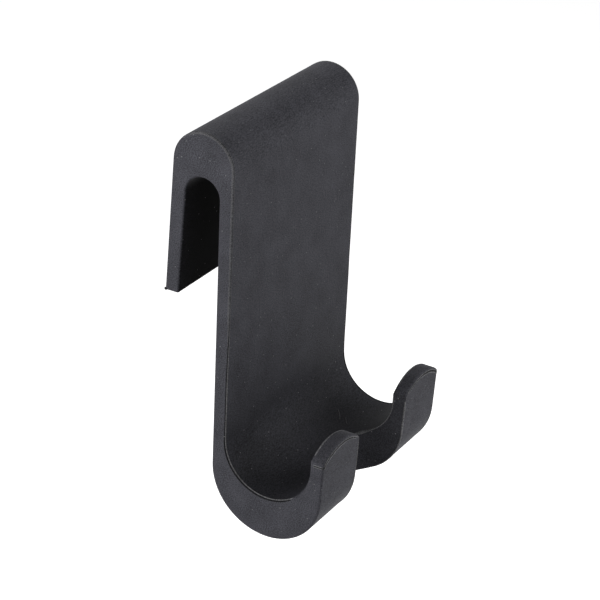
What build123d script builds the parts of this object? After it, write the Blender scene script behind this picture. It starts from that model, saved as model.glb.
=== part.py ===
from build123d import *
import math
import os

# Silicone hook for the top edge of a glass panel, moulded in one piece.
# A short leg goes behind the glass and a long plate hangs in front of it. The foot of
# the plate turns up into a trough, whose lip is two tongues with a notch between.
# Millimetres. The origin is the closed end of the panel slot, at the middle of the
# hook's width. Z is up, X runs along the panel's edge, and -Y is the front.

# Plate, slot and leg
hook_width = 50.0
slot_width = 8.0  # between plate and leg, at the closed end
plate_thickness = 3.2
crown_thickness = 9.7  # solid rubber above the slot
leg_length = 27.2  # from the slot's closed end to the leg's tip
leg_tip_thickness = 3.3
leg_lean = 3.1  # degrees by which the slot opens towards its mouth

# Trough
trough_drop = 58.0  # from the slot's closed end to the trough's axis
trough_radius = 10.3
floor_thickness = 9.55

# Lip and tongues
lip_tip_thickness = 3.3
lip_root_thickness = 2.8  # by which the lip's foot stands out beyond the trough
lip_height = 5.0  # top of the tongues above the trough's axis
tongue_crown = 2.7  # rise of a tongue's rounded top above its corners

# Notch between the tongues
notch_width = 20.5
notch_depth = 13.0  # from the lip's outer face to the far end
notch_corner = 7.0  # rounding of the corners at the far end

# Rounding of the edges, apart from the crisp ones down the notch
edge_radius = 0.5

# Depths from the glass and heights that follow from those sizes
slot_radius = slot_width / 2
plate_back = -slot_radius
plate_front = plate_back - plate_thickness
trough_axis = plate_front - trough_radius
lip_inner = trough_axis - trough_radius
lip_outer = lip_inner - lip_tip_thickness
lip_top = lip_height - trough_drop
tongue_corner = lip_top - tongue_crown
underside = -trough_drop - trough_radius - floor_thickness


def touching_point(corner, centre, radius):
    """Where a line from a corner first touches a circle, turning anticlockwise round it."""
    away = corner - centre
    turn = math.degrees(math.acos(radius / away.length))
    return centre + away.rotate(Axis.Z, turn).normalized() * radius


# The leg's inner face leaves the round closed end of the slot at its lean
lean = math.radians(leg_lean)
leg_start = Vector(slot_radius * math.cos(lean), slot_radius * (math.sin(lean) - 1))
leg_inner_tip = Vector(leg_start.X + (leg_start.Y + leg_length) * math.tan(lean), -leg_length)
leg_outer_tip = leg_inner_tip + Vector(leg_tip_thickness, 0)

# The arch over the panel's edge runs from the leg's outer face to the plate's front
arch_radius = slot_radius + plate_thickness
arch_centre = Vector(0, crown_thickness - arch_radius)
arch_start = touching_point(leg_outer_tip, arch_centre, arch_radius)
arch_end = arch_centre - Vector(arch_radius, 0)

# The underside is two arcs that meet below the trough's axis, the front one tighter
lowest = Vector(trough_axis, underside)
rear_end = Vector(plate_back, underside + trough_radius + plate_thickness)
front_radius = trough_radius + lip_root_thickness
lip_tip = Vector(lip_outer, lip_top)
front_start = touching_point(lip_tip, lowest + Vector(0, front_radius), front_radius)

with BuildPart() as hook:
    # Side profile, drawn with the front to the left and pulled out to both sides
    with BuildSketch(Plane.YZ) as side_profile:
        with BuildLine() as outline:
            ThreePointArc((plate_back, -slot_radius), (0, 0), leg_start)
            Polyline(leg_start, leg_inner_tip, leg_outer_tip, arch_start)
            ThreePointArc(arch_start, (0, crown_thickness), arch_end)
            Line(arch_end, (plate_front, -trough_drop))
            ThreePointArc(
                (plate_front, -trough_drop),
                (trough_axis, -trough_drop - trough_radius),
                (lip_inner, -trough_drop),
            )
            Polyline((lip_inner, -trough_drop), (lip_inner, lip_top), lip_tip)
            lip_face = Line(lip_tip, front_start)
            TangentArc(front_start, lowest, tangent=lip_face % 1)
            TangentArc(lowest, rear_end, tangent=(1, 0))
            Line(rear_end, (plate_back, -slot_radius))
        make_face()
    extrude(amount=hook_width / 2, both=True)

    # Rounded tops of the tongues: what stands above them is cut from the trough forwards
    with BuildSketch(Plane.XZ.offset(-trough_axis)) as tongue_tops:
        with BuildLine() as waste_outline:
            inner = notch_width / 2
            outer = hook_width / 2
            middle = (inner + outer) / 2
            ThreePointArc((inner, tongue_corner), (middle, lip_top), (outer, tongue_corner))
            Polyline(
                (outer, tongue_corner),
                (hook_width, tongue_corner),
                (hook_width, lip_top + tongue_crown),
                (0, lip_top + tongue_crown),
                (0, tongue_corner),
                (inner, tongue_corner),
            )
        make_face()
        mirror(about=Plane.YZ)
    extrude(amount=trough_radius + 2 * lip_tip_thickness, mode=Mode.SUBTRACT)

    # Notch with round corners, cut down through the lip and the floor of the trough
    with BuildSketch(Plane.XY.offset(lip_top)) as notch:
        with Locations((0, lip_outer + notch_depth)):
            Rectangle(notch_width, 2 * notch_depth, align=(Align.CENTER, Align.MAX))
        fillet(notch.vertices().group_by(Axis.Y)[-1], notch_corner)
    extrude(amount=underside - floor_thickness - lip_top, mode=Mode.SUBTRACT)

    def is_rounded(edge):
        """True where two faces meet at an angle, apart from the edges down the notch's walls."""
        here = edge @ 0.5
        first, second = [face.normal_at(here) for face in hook.faces() if edge in face.edges()]
        in_notch = abs(here.X) < inner + edge_radius and here.Z < tongue_corner - edge_radius
        return first != second and not in_notch

    fillet(hook.edges().filter_by(is_rounded), edge_radius)

hook.part.label = "hook"
os.makedirs("parts", exist_ok=True)
export_step(hook.part, "parts/hook.step")
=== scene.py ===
# %% [markdown]
# This lesson dresses one small thing: a black silicone hook that hangs on the top edge of a glass
# panel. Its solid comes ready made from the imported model, in metres, with its origin where the
# glass edge bears. So nothing is modelled twice: the solid is loaded as a fixed frame, and the
# lesson adds what a mould leaves on such rubber, gives it a skin, and then lights and frames it.

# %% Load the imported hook
import math

import bmesh
import bpy
from mathutils import Matrix, Vector, noise


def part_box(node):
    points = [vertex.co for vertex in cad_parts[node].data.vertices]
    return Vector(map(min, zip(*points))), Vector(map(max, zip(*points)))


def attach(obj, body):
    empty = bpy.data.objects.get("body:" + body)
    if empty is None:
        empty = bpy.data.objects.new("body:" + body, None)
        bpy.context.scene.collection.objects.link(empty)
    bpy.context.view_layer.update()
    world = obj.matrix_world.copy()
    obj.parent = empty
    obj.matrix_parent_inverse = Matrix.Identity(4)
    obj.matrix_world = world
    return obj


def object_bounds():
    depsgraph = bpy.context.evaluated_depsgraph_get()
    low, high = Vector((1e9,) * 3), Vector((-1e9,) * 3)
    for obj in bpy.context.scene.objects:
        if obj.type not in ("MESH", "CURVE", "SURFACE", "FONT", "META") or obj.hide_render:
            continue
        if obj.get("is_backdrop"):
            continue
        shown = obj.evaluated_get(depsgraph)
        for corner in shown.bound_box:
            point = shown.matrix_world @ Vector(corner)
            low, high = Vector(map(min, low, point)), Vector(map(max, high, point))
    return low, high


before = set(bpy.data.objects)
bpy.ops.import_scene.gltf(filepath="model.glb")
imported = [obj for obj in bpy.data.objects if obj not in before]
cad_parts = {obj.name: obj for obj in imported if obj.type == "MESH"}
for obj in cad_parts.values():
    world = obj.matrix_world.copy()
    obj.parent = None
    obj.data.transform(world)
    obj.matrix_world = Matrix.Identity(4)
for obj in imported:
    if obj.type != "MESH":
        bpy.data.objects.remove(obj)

MM = 0.001
BODY = "root"
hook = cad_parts["hook"]
cad_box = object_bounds()
hook_low, hook_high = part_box("hook")
print("hook measures", [round(side / MM, 2) for side in hook_high - hook_low], "mm")

# %% [markdown]
# The camera looks at the hook from its left and a little above it, from far enough away that the
# edges hardly converge. It could be placed by eye, but a place given by two angles, a distance and
# the point looked at is easier to read and to correct.

# %% Camera
VIEW_AZIMUTH = math.radians(-60.18)
VIEW_ELEVATION = math.radians(27.06)
VIEW_ROLL = math.radians(2.80)
VIEW_DISTANCE = 444.8 * MM
VIEW_TARGET = Vector((0, -9.23, -34.65)) * MM
LENS_LENGTH = 125.46
NEAREST_SEEN = 10 * MM


def direction(azimuth, elevation):
    """Unit vector from the hook to something seen at these two angles, in radians."""
    level = math.cos(elevation)
    return Vector((math.sin(azimuth) * level, -math.cos(azimuth) * level, math.sin(elevation)))


def make_camera():
    """Camera that looks at the target, tilted a little about its own axis."""
    lens = bpy.data.cameras.new("camera")
    lens.lens = LENS_LENGTH
    lens.clip_start = NEAREST_SEEN
    camera = bpy.data.objects.new("camera", lens)
    back = direction(VIEW_AZIMUTH, VIEW_ELEVATION)
    level = back.to_track_quat("Z", "Y").to_matrix()
    roll = Matrix.Rotation(VIEW_ROLL, 3, "Z")
    place = Matrix.Translation(VIEW_TARGET + back * VIEW_DISTANCE)
    camera.matrix_world = place @ (level @ roll).to_4x4()
    bpy.context.scene.collection.objects.link(camera)
    return camera


camera = make_camera()
bpy.context.scene.camera = camera
print("camera stands", round(VIEW_DISTANCE / MM), "mm away with a lens of", LENS_LENGTH, "mm")

# %% [markdown]
# Materials are built from nodes, and a helper keeps that short: it adds one node, sets its
# options, and gives each named input either a number or a link from another node's output.

# %% Node helper
def add(tree, kind, inputs=None, **options):
    """Adds a shader node; each input is a number to set or a socket to link from."""
    made = tree.nodes.new("ShaderNode" + kind)
    for name, value in options.items():
        setattr(made, name, value)
    for name, value in (inputs or {}).items():
        if isinstance(value, bpy.types.NodeSocket):
            tree.links.new(value, made.inputs[name])
        else:
            made.inputs[name].default_value = value
    return made


def new_material(name):
    """An empty node material, its tree and its output node."""
    material = bpy.data.materials.new(name)
    material.use_nodes = True
    material.node_tree.nodes.clear()
    return material, material.node_tree, add(material.node_tree, "OutputMaterial")


print("node helper ready")

# %% [markdown]
# The mould of such a hook is blasted, so the rubber comes out matte, with a grain of about a
# quarter of a millimetre, drawn out along the width. Two noises stand for it: a fine one for the
# grain, which also dents the surface a little, and a broad one for the uneven bloom on the skin.
# On top of that the colour is darkened where a point lies shut in, so the slot, the trough and the
# notch come out blacker: this is painted shade in the hollows. A node that asks how open a point
# lies gives this on any shape, where painting it would need an unwrapped mesh.

# %% Colour of the rubber, with painted shade in its hollows
GRAIN_SIZE = 0.24 * MM
GRAIN_STRETCH = (0.5, 1, 1)
BLOOM_SIZE = 6.0 * MM
BLOOM_SHARE = 0.25
GRAIN_CONTRAST = 0.58
GRAIN_RANGE = (0.32, 0.68)
SHADE_REACH = 60 * MM
HOLLOW_SHADE_DEPTH = 1.6


def rubber_colour_and_shade(tree, place, tone):
    """Sockets of the rubber's colour, with painted shade in its hollows, and of its grain."""
    drawn = add(tree, "VectorMath", {0: place, 1: GRAIN_STRETCH}, operation="MULTIPLY").outputs["Vector"]
    fine = {"Vector": drawn, "Scale": 1 / GRAIN_SIZE, "Detail": 1.5, "Roughness": 0.6}
    grain = add(tree, "TexNoise", fine)
    broad = {"Vector": place, "Scale": 1 / BLOOM_SIZE, "Detail": 3.0, "Roughness": 0.55}
    bloom = add(tree, "TexNoise", broad)
    height = grain.outputs["Fac"]
    mixed = add(tree, "MixRGB", {"Fac": BLOOM_SHARE, "Color1": height, "Color2": bloom.outputs["Fac"]})
    shade = add(tree, "ValToRGB", {"Fac": mixed.outputs["Color"]})
    dark, pale = shade.color_ramp.elements
    dark.position, pale.position = GRAIN_RANGE
    dark.color = [(1 - GRAIN_CONTRAST) * part for part in tone] + [1]
    pale.color = [(1 + GRAIN_CONTRAST) * part for part in tone] + [1]
    # Painted shade: the colour darkens where the point lies shut in, as in the slot, trough and notch.
    occlusion = add(tree, "AmbientOcclusion", {"Distance": SHADE_REACH}, samples=8)
    painted_shade = add(tree, "Math", {0: occlusion.outputs["AO"], 1: HOLLOW_SHADE_DEPTH}, operation="POWER")
    colour_in_shade = add(
        tree,
        "MixRGB",
        {"Fac": 1.0, "Color1": shade.outputs["Color"], "Color2": painted_shade.outputs["Value"]},
        blend_type="MULTIPLY",
    )
    return colour_in_shade.outputs["Color"], height


print("grain of", round(GRAIN_SIZE / MM, 2), "mm, bloom of", round(BLOOM_SIZE / MM, 1), "mm")

# %% [markdown]
# Pale specks of dust cling to silicone wherever it goes. They come from a cell pattern in which
# only the small middle of a cell shows. The skin itself is one shader with a weak, broad gloss. On
# the solid a bevel in the shading rounds the few edges that are crisp. The thin lines and beads that
# follow go without it, because it would reach round them and turn their shading over.

# %% Silicone
DUST_SPACING = 1.8 * MM
DUST_RADIUS = 0.068
DUST_COLOUR = (0.14, 0.14, 0.145, 1)
DENT_DEPTH = 0.05 * MM


def make_silicone(name, tone, roughness, soft_edge=0.0):
    """Matte silicone of one grey tone, with grain, bloom, dust, painted hollow shade and perhaps softened
    edges.
    """
    material, tree, output = new_material(name)
    place = add(tree, "TexCoord").outputs["Object"]
    colour, height = rubber_colour_and_shade(tree, place, tone)
    cells = add(tree, "TexVoronoi", {"Vector": place, "Scale": 1 / DUST_SPACING, "Randomness": 1.0})
    speck = add(tree, "Math", {0: cells.outputs["Distance"], 1: DUST_RADIUS}, operation="LESS_THAN")
    dust_and_painted_light = add(tree, "MixRGB", {"Fac": speck.outputs["Value"], "Color1": colour, "Color2": DUST_COLOUR})
    dents = add(tree, "Bump", {"Height": height, "Strength": 0.35, "Distance": DENT_DEPTH})
    if soft_edge:
        rounded = add(tree, "Bevel", {"Radius": soft_edge}, samples=6)
        tree.links.new(rounded.outputs["Normal"], dents.inputs["Normal"])
    skin = add(
        tree,
        "BsdfPrincipled",
        {
            "Base Color": dust_and_painted_light.outputs["Color"],
            "Roughness": roughness,
            "IOR": 1.42,
            "Specular IOR Level": 0.08,
            "Normal": dents.outputs["Normal"],
        },
    )
    tree.links.new(skin.outputs["BSDF"], output.inputs["Surface"])
    return material


print("dust lies about", round(DUST_SPACING / MM, 1), "mm apart")

# %% [markdown]
# One recipe serves the whole hook, in five tones. The moulded skin is nearly black and fresh scuffs
# are greyer. The other three paint light: thin flash is a little paler and edges are greyer, as
# painted highlight where ridges and roundings catch light, and the groove of the parting line is
# the darkest, as painted shade in the crease. One material with masks could hold them all, but
# five plain ones are easier to follow. The skin goes on the solid straight away.

# %% Tones of the silicone
SOFT_EDGE = 0.35 * MM

silicone = make_silicone("black_silicone", tone=(0.0445, 0.0445, 0.052), roughness=0.62, soft_edge=SOFT_EDGE)
# Three tones below paint light: the paler flash and greyer edges are painted highlight, the darkest groove
# is painted shade.
flash_highlight = make_silicone("flash_highlight_silicone", tone=(0.075, 0.075, 0.08), roughness=0.5)
edge_highlight = make_silicone("edge_highlight_silicone", tone=(0.13, 0.13, 0.135), roughness=0.55)
groove_shade = make_silicone("groove_shade_silicone", tone=(0.007, 0.007, 0.008), roughness=0.7)
scuffed = make_silicone("scuffed_silicone", tone=(0.22, 0.22, 0.225), roughness=0.6)
hook.data.materials.clear()
hook.data.materials.append(silicone)
print("hook wears", silicone.name)

# %% [markdown]
# Where the two halves of the mould met, a parting line runs round the hook: over the arch, down
# the edges of the plate, round the trough, across the sides of the tongues and along their
# fronts, just below the top. It is a hair of flash with a groove beside it. A bump could only
# shade it, so it is real here: a narrow closed strip swept along the edge, bedded in the rubber.
# A few sizes of the solid are needed to lay it, in millimetres, and the rest follows from them.

# %% Sizes that the lines follow
EDGE_RADIUS = 0.5
ARCH_RADIUS = 7.2
ARCH_HEIGHT = 2.5
TROUGH_RADIUS = 10.3
TROUGH_AXIS = Vector((0, -17.5, -58.0))
LIP_THICKNESS = 3.3
LIP_HEIGHT = 5.0
LIP_LEAN = 0.0415
TONGUE_CROWN = 2.7
TONGUE_INNER = 10.25
SIDE = hook_high.x / MM
PLATE_FRONT = TROUGH_AXIS.y + TROUGH_RADIUS
LIP_INNER = TROUGH_AXIS.y - TROUGH_RADIUS
LIP_OUTER = LIP_INNER - LIP_THICKNESS
LIP_TOP = TROUGH_AXIS.z + LIP_HEIGHT


def tongue_top(across):
    """Height of the round top of a tongue at a distance from the hook's middle."""
    middle = (TONGUE_INNER + SIDE) / 2
    half = (SIDE - TONGUE_INNER) / 2
    radius = (half**2 + TONGUE_CROWN**2) / (2 * TONGUE_CROWN)
    return LIP_TOP - radius + math.sqrt(radius**2 - (across - middle) ** 2)


def lip_front(height):
    """Depth of the lip's leaning front face at a height."""
    return LIP_OUTER + LIP_LEAN * (LIP_TOP - height)


print("tongues rise from", round(tongue_top(SIDE), 2), "to", LIP_TOP, "mm")

# %% [markdown]
# All strips are made the same way: rings of points, one ring at each place along the line, are
# joined into a tube and closed at both ends. The underside of the tube lies in the rubber, so no
# loose edge shows, and the piece stays a closed solid when it is taken out by itself. Every piece
# rides on the hook's one body.

# %% Strip helper
def add_piece(name, mesh):
    """Object of a mesh, which moves with the hook."""
    piece = bpy.data.objects.new(name, mesh)
    bpy.context.scene.collection.objects.link(piece)
    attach(piece, BODY)
    return piece


def make_strip(name, rings, materials, slots=None):
    """Closed strip through rings of points in millimetres; slots give each column its material."""
    wide = len(rings[0])
    slots = slots or (0,) * wide
    points = [point * MM for ring in rings for point in ring]
    faces = []
    for row in range(len(rings) - 1):
        for column in range(wide):
            beside = (column + 1) % wide
            low, high = row * wide, (row + 1) * wide
            faces.append((low + column, low + beside, high + beside, high + column))
    faces.append(tuple(range(wide)))
    faces.append(tuple(range(len(points) - wide, len(points))))
    mesh = bpy.data.meshes.new(name)
    mesh.from_pydata(points, [], faces)
    for material in materials:
        mesh.materials.append(material)
    for index, polygon in enumerate(mesh.polygons):
        polygon.material_index = slots[index % wide] if index < len(faces) - 2 else 0
        polygon.use_smooth = True
    shell = bmesh.new()
    shell.from_mesh(mesh)
    bmesh.ops.recalc_face_normals(shell, faces=shell.faces)
    shell.to_mesh(mesh)
    shell.free()
    return add_piece(name, mesh)


print("strip helper ready")

# %% [markdown]
# The line on a rim follows the profile of the hook from the back of the arch to the foot of the lip.
# It could be traced from the mesh, but the profile is only two arcs and a straight stretch, so a
# short loop for each gives even steps. Each place keeps the direction out of the rubber as well.

# %% Path along a rim
STEP = 0.35
RIM_SWEEP = 150


def rim_profile():
    """Points of the profile and the directions out of the rubber, from the arch to the lip's foot."""
    places = []
    count = round(math.radians(RIM_SWEEP) * ARCH_RADIUS / STEP)
    for index in range(count + 1):
        angle = math.radians(180 - RIM_SWEEP + RIM_SWEEP * index / count)
        out = Vector((0, math.cos(angle), math.sin(angle)))
        places.append((Vector((0, 0, ARCH_HEIGHT)) + out * ARCH_RADIUS, out))
    count = round((ARCH_HEIGHT - TROUGH_AXIS.z) / STEP)
    for index in range(1, count):
        height = ARCH_HEIGHT + (TROUGH_AXIS.z - ARCH_HEIGHT) * index / count
        places.append((Vector((0, PLATE_FRONT, height)), Vector((0, -1, 0))))
    count = round(math.radians(RIM_SWEEP) * TROUGH_RADIUS / STEP)
    for index in range(count + 1):
        angle = math.radians(-RIM_SWEEP * index / count)
        away = Vector((0, math.cos(angle), math.sin(angle)))
        places.append((TROUGH_AXIS + away * TROUGH_RADIUS, -away))
    return places


print("a rim has", len(rim_profile()), "places")

# %% [markdown]
# The strip sits on the rounded edge between the side face and the front of the profile. Its section
# is a row of points round that edge, from the front to the side, each with an angle in degrees and a
# height off the rubber. On the arch the groove lies near the front and a broad pale band, painted
# highlight, shows beside it. Down the plate it wanders towards the side, and in the trough it gapes,
# with a ridge of flash in front, because the mould closed less tightly there. Below the lip it closes
# again. So there are three sections, and each ring mixes them over stretches of height or depth.

# %% Section of a rim line
SUNK = -0.045
ARCH_SECTION = (
    (-8, SUNK), (-5, 0.0), (-1, 0.015), (2, 0.015), (7, 0.012),
    (13, 0.02), (24, 0.045), (50, 0.05), (78, 0.02), (94, SUNK),
)
PLATE_SECTION = (
    (6, SUNK), (15, 0.03), (22, 0.08), (31, 0.09), (46, 0.035),
    (58, 0.033), (70, 0.03), (80, SUNK), (88, SUNK), (95, SUNK),
)
TROUGH_SECTION = (
    (0, SUNK), (8, 0.07), (13, 0.16), (19, 0.18), (36, 0.045),
    (55, 0.045), (74, 0.04), (84, SUNK), (90, SUNK), (95, SUNK),
)
LOWERING = (26, 46)
GAPING_DROP = (56, 61)
GAPING_DEPTH = (-25, -21)


def ramp(value, start, end):
    """Smooth way from 0 at the start to 1 at the end."""
    share = min(1, max(0, (value - start) / (end - start)))
    return share * share * (3 - 2 * share)


def rim_section(place):
    """Section of the strip at a place, mixed from those of the arch, the plate and the trough."""
    lowered = ramp(-place.z, *LOWERING)
    gaping = ramp(-place.z, *GAPING_DROP) * ramp(place.y, *GAPING_DEPTH)
    section = []
    for arch, plate, trough in zip(ARCH_SECTION, PLATE_SECTION, TROUGH_SECTION):
        section.append(Vector(arch).lerp(Vector(plate), lowered).lerp(Vector(trough), gaping))
    return section


print("a section has", len(rim_section(TROUGH_AXIS)), "points")

# %% [markdown]
# No mould closes evenly, so the line is stronger in some places than in others. A slow noise along
# it gives each place a strength. Where that is low the section sinks into the rubber, and the line
# fades out at both ends. Each column of the strip has its own tone: paler flash and greyer edge as
# painted highlight, or the near-black groove as painted shade.

# %% Parting line on the rims
LINE_MATERIALS = (flash_highlight, groove_shade, edge_highlight)
FLASH_HIGHLIGHT_SLOT, GROOVE_SHADE_SLOT, EDGE_HIGHLIGHT_SLOT = range(len(LINE_MATERIALS))
RIM_SLOTS = (FLASH_HIGHLIGHT_SLOT, FLASH_HIGHLIGHT_SLOT, EDGE_HIGHLIGHT_SLOT, EDGE_HIGHLIGHT_SLOT, GROOVE_SHADE_SLOT, GROOVE_SHADE_SLOT, FLASH_HIGHLIGHT_SLOT, FLASH_HIGHLIGHT_SLOT, FLASH_HIGHLIGHT_SLOT, FLASH_HIGHLIGHT_SLOT)
RIM_FADE_STEPS = 12
RIM_FADE_DEPTH = (-26, -22)
RIM_WAVER = {"mean": 0.9, "swing": 0.15, "pace": 0.09, "row": 3.7}


def waver(index, line, mean, swing, pace, row):
    """Uneven factor round a mean, at a step along a line; row and line tell the lines apart."""
    return mean + swing * noise.noise(Vector((index * pace, row, line)))


def lifted(height, strength):
    """Height of a section's point where the line has this strength; without any it is sunk."""
    return height * strength + SUNK * (1 - strength)


def make_rim_line(name, sign):
    """Parting line on the rim of the left side, sign -1, or of the right side, sign 1."""
    side = Vector((sign, 0, 0))
    rings = []
    for index, (place, out) in enumerate(rim_profile()):
        strength = min(1, index / RIM_FADE_STEPS) * ramp(place.y, *RIM_FADE_DEPTH)
        strength *= waver(index, sign, **RIM_WAVER)
        centre = place - out * EDGE_RADIUS + side * (SIDE - EDGE_RADIUS)
        rings.append([])
        for angle, height in rim_section(place):
            turn = math.radians(angle)
            reach = EDGE_RADIUS + lifted(height, strength)
            rings[-1].append(centre + (out * math.cos(turn) + side * math.sin(turn)) * reach)
    return make_strip(name, rings, LINE_MATERIALS, RIM_SLOTS)


rim_lines = [make_rim_line("parting_line_left", -1), make_rim_line("parting_line_right", 1)]
print("each rim line has", len(rim_lines[0].data.polygons), "faces")

# %% [markdown]
# Further up, the line crosses the flat side of a tongue, goes round its corner and climbs along the
# front, a little below the round top. The path is again worked out from the sizes of the solid, in
# three stretches: side, corner and front.

# %% Path round a tongue
LINE_DROP = 0.8
LINE_INSET = 0.3
LINE_END_GAP = 0.4
SIDE_STEPS = 9
CORNER_STEPS = 6
FRONT_STEPS = 39


def tongue_path(sign):
    """Points of the line and the directions off the rubber, from the trough round to the notch."""
    corner = tongue_top(SIDE) - LINE_DROP
    side = Vector((sign, 0, 0))
    front = Vector((0, -1, -LIP_LEAN)).normalized()
    turning = lip_front(corner) + EDGE_RADIUS
    path = []
    for index in range(SIDE_STEPS):
        depth = LIP_INNER - LINE_INSET + (turning - LIP_INNER + LINE_INSET) * index / SIDE_STEPS
        path.append((Vector((sign * SIDE, depth, corner)), side))
    hub = Vector((sign * (SIDE - EDGE_RADIUS), turning, corner))
    for index in range(CORNER_STEPS + 1):
        turn = math.radians(90 * index / CORNER_STEPS)
        out = side * math.cos(turn) + front * math.sin(turn)
        path.append((hub + out * EDGE_RADIUS, out))
    start = SIDE - EDGE_RADIUS
    for index in range(1, FRONT_STEPS + 1):
        across = start - (start - TONGUE_INNER - LINE_END_GAP) * index / FRONT_STEPS
        height = tongue_top(across) - LINE_DROP
        path.append((Vector((sign * across, lip_front(height), height)), front))
    return path


print("a tongue's line has", len(tongue_path(1)), "places")

# %% [markdown]
# Here the line lies on flat rubber, so its section is given upwards across the line and off the
# surface. It is a groove, near-black as painted shade, with a pale flank of flash on each side as
# painted highlight. Near the front corner it gapes downwards, and towards the notch it closes.

# %% Parting line on the tongues
FLAT_SECTION = ((-0.36, SUNK), (-0.2, 0.04), (-0.14, 0.014), (0.14, 0.014), (0.2, 0.045), (0.38, SUNK))
TONGUE_SLOTS = (EDGE_HIGHLIGHT_SLOT, EDGE_HIGHLIGHT_SLOT, GROOVE_SHADE_SLOT, EDGE_HIGHLIGHT_SLOT, EDGE_HIGHLIGHT_SLOT, FLASH_HIGHLIGHT_SLOT)
TONGUE_WAVER = {"mean": 0.93, "swing": 0.2, "pace": 0.21, "row": 5.2}
FADE_IN_STEPS = 4
FADE_OUT_STEPS = 6
GAPE_SHARE = 1.0
GAPE_OPENING = (12, 18)
GAPE_CLOSING = (30, 48)


def gape(index):
    """How many times wider the lower half of the line is at a step along it."""
    return 1 + GAPE_SHARE * ramp(index, *GAPE_OPENING) * (1 - ramp(index, *GAPE_CLOSING))


def make_tongue_line(name, sign):
    """Parting line round one tongue."""
    path = tongue_path(sign)
    rings = []
    for index, (place, out) in enumerate(path):
        ahead = path[min(index + 1, len(path) - 1)][0] - path[max(index - 1, 0)][0]
        upwards = out.cross(ahead).normalized() * -sign
        strength = min(1, (index + 1) / FADE_IN_STEPS, (len(path) - index) / FADE_OUT_STEPS)
        strength *= waver(index, sign, **TONGUE_WAVER)
        rings.append([])
        for offset, height in FLAT_SECTION:
            reach = offset * gape(index) if offset < 0 else offset
            rings[-1].append(place + upwards * reach + out * lifted(height, strength))
    return make_strip(name, rings, LINE_MATERIALS, TONGUE_SLOTS)


tongue_lines = [make_tongue_line("parting_line_left_tongue", -1)]
tongue_lines.append(make_tongue_line("parting_line_right_tongue", 1))
print("each tongue line has", len(tongue_lines[0].data.polygons), "faces")

# %% [markdown]
# The notch between the tongues is where the rubber is torn from the mould, and its edge comes out
# a little swollen; it is painted pale as a highlight on the rounded edge. That edge runs down the
# inner side of one tongue, round the far end of the notch on the wall of the trough, and up the
# other. Each place on it needs its point and the two directions out of the faces that meet there.
# One half is worked out and then mirrored.

# %% Rear edge of the notch
NOTCH_DEPTH = 13.0
NOTCH_CORNER = 7.0
TONGUE_STEPS = 7
WALL_STEPS = 14
NOTCH_STEPS = 24


def trough_place(across, depth):
    """Point of the trough's wall above a place, and the direction out of the wall."""
    reach = depth - TROUGH_AXIS.y
    point = Vector((across, depth, TROUGH_AXIS.z - math.sqrt(max(0, TROUGH_RADIUS**2 - reach**2))))
    return point, Vector((0, TROUGH_AXIS.y - point.y, TROUGH_AXIS.z - point.z)).normalized()


def notch_half():
    """Right half of the notch's edge, from the tongue to the middle of the far end."""
    path = []
    top = tongue_top(TONGUE_INNER) - EDGE_RADIUS
    inwards = Vector((-1, 0, 0))
    for index in range(TONGUE_STEPS):
        height = top + (TROUGH_AXIS.z - top) * index / TONGUE_STEPS
        path.append((Vector((TONGUE_INNER, LIP_INNER, height)), Vector((0, 1, 0)), inwards))
    arc_start = LIP_OUTER + NOTCH_DEPTH - NOTCH_CORNER
    swing = math.acos((TROUGH_AXIS.y - arc_start) / TROUGH_RADIUS)
    for index in range(WALL_STEPS):
        turn = swing * index / WALL_STEPS
        point, out = trough_place(TONGUE_INNER, TROUGH_AXIS.y - TROUGH_RADIUS * math.cos(turn))
        path.append((point, out, inwards))
    for index in range(NOTCH_STEPS + 1):
        turn = math.radians(90 * index / NOTCH_STEPS)
        across = TONGUE_INNER - NOTCH_CORNER + NOTCH_CORNER * math.cos(turn)
        point, out = trough_place(across, arc_start + NOTCH_CORNER * math.sin(turn))
        path.append((point, out, Vector((-math.cos(turn), -math.sin(turn), 0))))
    return path


def mirrored(path):
    """The same edge on the left half, walked the other way."""
    flip = Vector((-1, 1, 1))
    return [tuple(part * flip for part in step) for step in reversed(path)]


half = notch_half()
notch_path = half + mirrored(half)
print("the notch's edge has", len(notch_path), "places")

# %% [markdown]
# The front edge of each tongue beside the notch is torn in the same way. It goes down the leaning
# face of the lip and on under the floor, where it thins out.

# %% Front edges of the tongues
FLOOR_RADIUS = 13.1
FLOOR_AXIS = Vector((0, TROUGH_AXIS.y, hook_low.z / MM + FLOOR_RADIUS))
FLOOR_SWEEP = 80
FACE_STEPS = 24
FLOOR_STEPS = 29


def front_edge(sign):
    """Front edge of one tongue beside the notch, from its top down and on under the floor."""
    path = []
    inwards = Vector((-sign, 0, 0))
    lean = math.atan(LIP_LEAN)
    top = tongue_top(TONGUE_INNER) - EDGE_RADIUS
    foot = FLOOR_AXIS.z - FLOOR_RADIUS * math.sin(lean)
    for index in range(FACE_STEPS):
        height = top + (foot - top) * index / FACE_STEPS
        point = Vector((sign * TONGUE_INNER, lip_front(height), height))
        path.append((point, Vector((0, -math.cos(lean), -math.sin(lean))), inwards))
    for index in range(FLOOR_STEPS + 1):
        turn = lean + (math.radians(FLOOR_SWEEP) - lean) * index / FLOOR_STEPS
        out = Vector((0, -math.cos(turn), -math.sin(turn)))
        path.append((FLOOR_AXIS + out * FLOOR_RADIUS - inwards * TONGUE_INNER, out, inwards))
    return path


print("each front edge has", len(front_edge(1)), "places")

# %% [markdown]
# A round bead follows each of these edges, mostly sunk into the corner, in a pale tone that paints
# the highlight of the rounded edge. It thins out at both ends and wavers a little, and at one spot of
# the notch, where the rubber tore, it is thicker. A bevel of the solid would look too regular.

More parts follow.
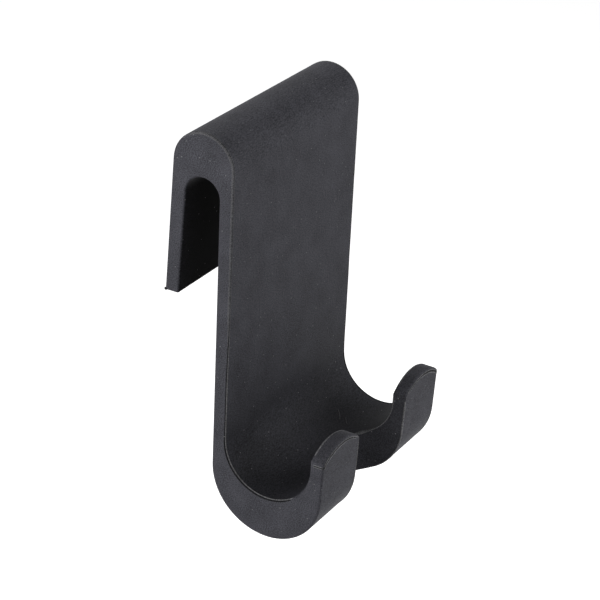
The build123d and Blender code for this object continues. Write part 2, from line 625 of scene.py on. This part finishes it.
# %% Pale beads of painted highlight on the notch's edges
BEAD_RADIUS = 0.215
BEAD_DEPTH = 0.14
BEAD_SIDES = 10
BEAD_END = 0.3
BEAD_TAPER_STEPS = 5
BEAD_WAVER = {"mean": 1, "swing": 0.15, "pace": 0.4, "row": 1.3}
TEAR_PLACE = 30
TEAR_SWELL = 0.7
TEAR_STEPS = 2


def make_bead(name, path, tear=None):
    """Pale round bead along an edge as painted highlight, thin at both ends and thicker where the rubber
    tore.
    """
    rings = []
    for index, (point, out, inwards) in enumerate(path):
        nearest_end = min(index, len(path) - 1 - index)
        radius = BEAD_RADIUS * min(1, BEAD_END + nearest_end / BEAD_TAPER_STEPS)
        radius *= waver(index, len(path), **BEAD_WAVER)
        if tear is not None:
            radius *= 1 + TEAR_SWELL * math.exp(-(((index - tear) / TEAR_STEPS) ** 2))
        centre = point - (out + inwards) * BEAD_DEPTH
        rings.append([])
        for side in range(BEAD_SIDES):
            turn = math.radians(360 * side / BEAD_SIDES)
            rings[-1].append(centre + (out * math.cos(turn) + inwards * math.sin(turn)) * radius)
    return make_strip(name, rings, (edge_highlight,))


beads = [make_bead("notch_edge", notch_path, TEAR_PLACE)]
beads.append(make_bead("tongue_edge_left", front_edge(-1)))
beads.append(make_bead("tongue_edge_right", front_edge(1)))
print("notch edge has", len(beads[0].data.polygons), "faces")

# %% [markdown]
# The rear edge of each tongue's round top is painted pale, as a highlight where the rounded edge
# catches light. That edge is rounded in the solid, so a thin strip lies on its upper half, along the
# arc of the top.

# %% Painted highlight on the tops of the tongues
TOP_SECTION = ((-14, SUNK), (0, 0.03), (20, 0.045), (40, 0.04), (66, SUNK))
TOP_COUNT = 40
TOP_FADE_STEPS = 4
TOP_WAVER = {"mean": 0.85, "swing": 0.5, "pace": 0.6, "row": 8.1}


def top_rings(sign):
    """Rings of the strip on the rear edge of one tongue's top, from the notch outwards."""
    start = TONGUE_INNER + EDGE_RADIUS
    backwards = Vector((0, 1, 0))
    rings = []
    for index in range(TOP_COUNT):
        across = start + (SIDE - EDGE_RADIUS - start) * index / (TOP_COUNT - 1)
        slope = (tongue_top(across + STEP) - tongue_top(across - STEP)) / (2 * STEP)
        up = Vector((-sign * slope, 0, 1)).normalized()
        centre = Vector((sign * across, LIP_INNER, tongue_top(across))) - (up + backwards) * EDGE_RADIUS
        strength = min(1, min(index, TOP_COUNT - 1 - index) / TOP_FADE_STEPS)
        strength *= waver(index, sign, **TOP_WAVER)
        rings.append([])
        for angle, height in TOP_SECTION:
            turn = math.radians(angle)
            reach = EDGE_RADIUS + lifted(height, strength)
            rings[-1].append(centre + (up * math.cos(turn) + backwards * math.sin(turn)) * reach)
    return rings


tops = [make_strip("tongue_top_left", top_rings(-1), (edge_highlight,))]
tops.append(make_strip("tongue_top_right", top_rings(1), (edge_highlight,)))
print("each tongue top has a rim of", len(tops[0].data.polygons), "faces")

# %% [markdown]
# A crumb of flash is left at the lower rear corner of the leg, where the mould parted. It is
# shaped like torn rubber: a small ball of facets, pulled out of round by noise and half sunk into
# the corner.

# %% Crumb of flash on the leg
CRUMB_PLACE = Vector((-24.72, 8.42, -26.98))
CRUMB_SIZE = Vector((0.36, 0.42, 0.3))
CRUMB_SWELL = 0.35
CRUMB_LUMPS = 1.7
CRUMB_SEED = Vector((4, 2, 7))


def make_crumb():
    """Lump of torn rubber on the corner of the leg."""
    lump = bmesh.new()
    bmesh.ops.create_icosphere(lump, subdivisions=3, radius=1.0)
    for corner in lump.verts:
        swell = 1 + CRUMB_SWELL * noise.noise(corner.co * CRUMB_LUMPS + CRUMB_SEED)
        corner.co = (CRUMB_PLACE + corner.co * CRUMB_SIZE * swell) * MM
    mesh = bpy.data.meshes.new("flash_crumb")
    lump.to_mesh(mesh)
    lump.free()
    for polygon in mesh.polygons:
        polygon.use_smooth = True
    # The crumb borrows the near-black tone that was made as painted shade for the groove.
    mesh.materials.append(groove_shade)
    return add_piece("flash_crumb", mesh)


crumb = make_crumb()
print("crumb has", len(crumb.data.polygons), "faces")

# %% [markdown]
# Something with an edge has scraped the trough right of the notch and left two short pale scuffs. A
# texture could draw them, but they are real here too: flat slivers of torn rubber, bent a little and
# laid on the trough's wall. A round thread would catch too little light there. Each is given by its
# two ends, as the place across and the angle round the trough, and by its bow between them.

# %% Scuffs in the trough
SCUFF_HALF_WIDTH = 0.13
SCUFF_HEIGHT = 0.035
SCUFF_STEPS = 24
SCUFF_SIDES = 8
SCUFF_END = 0.3
SCUFF_TAPER = 6
SCUFFS = (((13.9, -60.5), (11.3, -73.0), 0.35), ((13.6, -74.5), (11.3, -84.0), -0.25))


def scuff_rings(start, end, bow):
    """Rings of a flat sliver on the trough's wall, thin at both ends."""
    rings = []
    side = Vector((1, 0, 0))
    turns = [math.radians(360 * corner / SCUFF_SIDES) for corner in range(SCUFF_SIDES)]
    for index in range(SCUFF_STEPS):
        share = index / (SCUFF_STEPS - 1)
        across, angle = Vector(start).lerp(Vector(end), share)
        across += bow * math.sin(math.pi * share)
        away = Vector((0, math.cos(math.radians(angle)), math.sin(math.radians(angle))))
        point = TROUGH_AXIS + away * TROUGH_RADIUS + side * across
        size = min(1, SCUFF_END + SCUFF_TAPER * min(share, 1 - share))
        high = away * SCUFF_HEIGHT * size
        wide = side * SCUFF_HALF_WIDTH * size
        rings.append([point + high * math.cos(turn) + wide * math.sin(turn) for turn in turns])
    return rings


scuffs = []
for number, (start, end, bow) in enumerate(SCUFFS, 1):
    scuffs.append(make_strip(f"scuff_{number}", scuff_rings(start, end, bow), (scuffed,)))
print(len(scuffs), "scuffs lie in the trough")

# %% [markdown]
# The hook floats over white paper, as in a catalogue. The paper is plain diffuse white and keeps
# the soft shadow. To show as white without more light on the hook, it also glows, but only for
# the camera and for mirror-like rays, which the light path tells apart.

# %% White paper
PAPER_DROP = 80 * MM
PAPER_SIZE = 8.0
PAPER_GLOW = 0.93
PAPER_COLOUR = (0.8, 0.8, 0.8, 1)


def seen_directly(tree):
    """Socket that is 1 for camera, glossy and transmission rays."""
    rays = add(tree, "LightPath").outputs
    first = add(tree, "Math", {0: rays["Is Camera Ray"], 1: rays["Is Glossy Ray"]}, operation="MAXIMUM")
    both = {0: first.outputs["Value"], 1: rays["Is Transmission Ray"]}
    return add(tree, "Math", both, operation="MAXIMUM").outputs["Value"]


def make_paper():
    """Square of white paper below the hook."""
    half_side = PAPER_SIZE / 2
    height = hook_low.z - PAPER_DROP
    corners = [(x, y, height) for y in (-half_side, half_side) for x in (-half_side, half_side)]
    mesh = bpy.data.meshes.new("paper")
    mesh.from_pydata(corners, [], [(0, 1, 3, 2)])
    paper = bpy.data.objects.new("paper", mesh)
    bpy.context.scene.collection.objects.link(paper)
    material, tree, output = new_material("white_paper")
    lift = add(tree, "Math", {0: seen_directly(tree), 1: PAPER_GLOW}, operation="MULTIPLY")
    matte = add(tree, "BsdfDiffuse", {"Color": PAPER_COLOUR})
    glow = add(tree, "Emission", {"Color": (1, 1, 1, 1), "Strength": lift.outputs["Value"]})
    both = add(tree, "AddShader", {0: matte.outputs[0], 1: glow.outputs[0]})
    tree.links.new(both.outputs[0], output.inputs["Surface"])
    mesh.materials.append(material)
    paper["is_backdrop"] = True
    return paper


paper = make_paper()
print("paper lies", round(PAPER_DROP / MM), "mm below the hook")

# %% [markdown]
# Soft square lamps stand round the hook. The main one is far off and lights its left side evenly,
# with a little help above and behind. Two small near ones in front draw the plate and tongues, and
# one from high behind brushes the tops; their light falls off down the plate.

# %% Lamps
def make_softbox(name, azimuth, elevation, distance, size, power):
    """Square lamp that faces the hook from a direction in degrees; distance and size are in metres."""
    lamp = bpy.data.lights.new(name, "AREA")
    lamp.shape = "SQUARE"
    lamp.size = size
    lamp.energy = power
    box = bpy.data.objects.new(name, lamp)
    away = direction(math.radians(azimuth), math.radians(elevation))
    box.location = (hook_low + hook_high) / 2 + away * distance
    box.rotation_mode = "QUATERNION"
    box.rotation_quaternion = away.to_track_quat("Z", "Y")
    bpy.context.scene.collection.objects.link(box)
    return box


lamps = [
    make_softbox("left", azimuth=-115, elevation=2, distance=0.9, size=0.5, power=7.8),
    make_softbox("left_top", azimuth=-100, elevation=30, distance=0.15, size=0.1, power=0.055),
    make_softbox("left_rear", azimuth=-150, elevation=35, distance=0.3, size=0.2, power=0.14),
    make_softbox("front", azimuth=10, elevation=20, distance=0.3, size=0.2, power=0.44),
    make_softbox("front_right", azimuth=45, elevation=15, distance=0.3, size=0.2, power=0.27),
    make_softbox("rear_top", azimuth=130, elevation=58, distance=0.3, size=0.2, power=0.31),
]
print(len(lamps), "lamps of", round(sum(lamp.data.energy for lamp in lamps), 3), "W in all")

# %% [markdown]
# The room itself is white, but only for the camera and for gloss. So it gives the black rubber its
# faint sheen without filling the hollows, as more light from all round would.

# %% Room
def make_room():
    """White surroundings that only the camera and mirror-like rays see."""
    world = bpy.data.worlds.new("room")
    world.use_nodes = True
    background = world.node_tree.nodes["Background"]
    background.inputs["Color"].default_value = (1, 1, 1, 1)
    world.node_tree.links.new(seen_directly(world.node_tree), background.inputs["Strength"])
    return world


bpy.context.scene.world = make_room()
bpy.context.scene.view_settings.view_transform = "Standard"
print("colours are shown by the", bpy.context.scene.view_settings.view_transform, "view transform")

# %% [markdown]
# At the end the dressed hook is measured beside the bare one. The lines and beads stand at most
# about a fifth of a millimetre proud, and the crumb a little more, so both boxes should agree.

# %% Measure and finish
visual_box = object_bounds()
grown = [round((new - old) / MM, 3) for new, old in zip(visual_box[1], cad_box[1])]
print("the highest corner moved by", grown, "mm")
